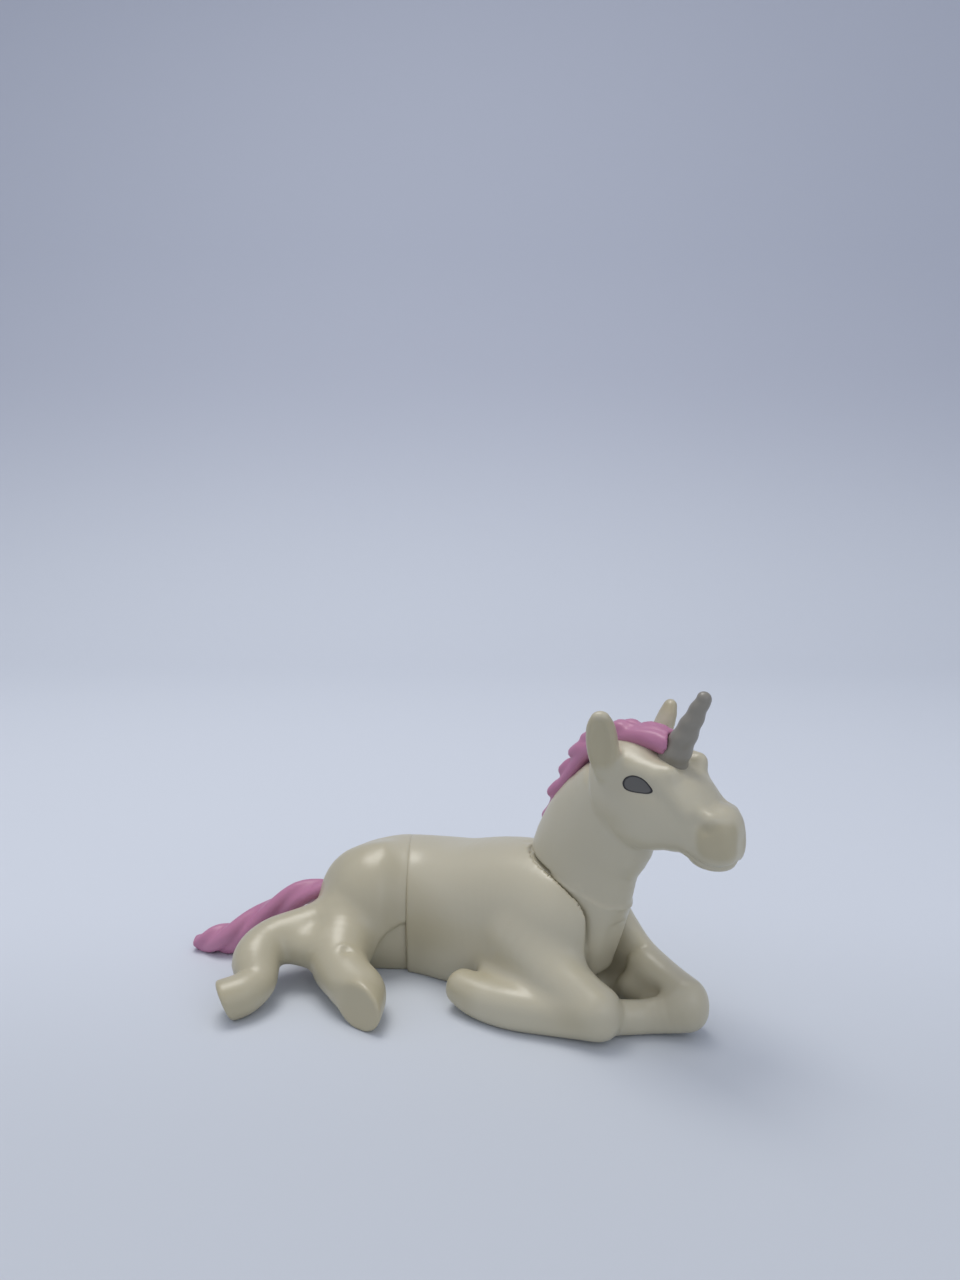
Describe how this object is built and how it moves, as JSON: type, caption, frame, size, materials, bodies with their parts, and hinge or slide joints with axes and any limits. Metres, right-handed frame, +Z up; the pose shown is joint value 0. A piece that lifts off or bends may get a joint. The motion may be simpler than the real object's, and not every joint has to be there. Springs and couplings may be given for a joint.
{
  "type": "toy unicorn figure",
  "caption": "Small moulded toy unicorn foal lying with folded legs; its neck and head tip on a trunnion held between the shoulders, with mane, horn and tail fitted on.",
  "frame": {"origin": "on the ground, under the middle of the bounding box", "axes": "+X from the tail end towards the head end, +Y away from the side that the hind feet point to, +Z up"},
  "size_m": [0.0748, 0.0425, 0.0451],
  "materials": {
    "cream_plastic": "satin cream plastic, soft highlights, slightly yellower at the hooves and muzzle",
    "mauve_plastic": "satin mauve pink plastic",
    "grey_plastic": "satin grey plastic",
    "eye_print": "pad print, grey inside a dark outline"
  },
  "bodies": {
    "body": {"forequarters": "cream_plastic", "hindquarters": "cream_plastic", "tail": "mauve_plastic"},
    "head": {"head_neck": "cream_plastic", "mane": "mauve_plastic", "horn": "grey_plastic", "eye_right": "eye_print", "eye_left": "eye_print"}
  },
  "joints": [
    {"name": "neck_pivot", "type": "hinge", "parent": "body", "child": "head", "pos_m": [0.01695, -0.00081, 0.00942], "axis": [0.7071, 0.7071, 0], "range_deg": [-4, 15]}
  ]
}
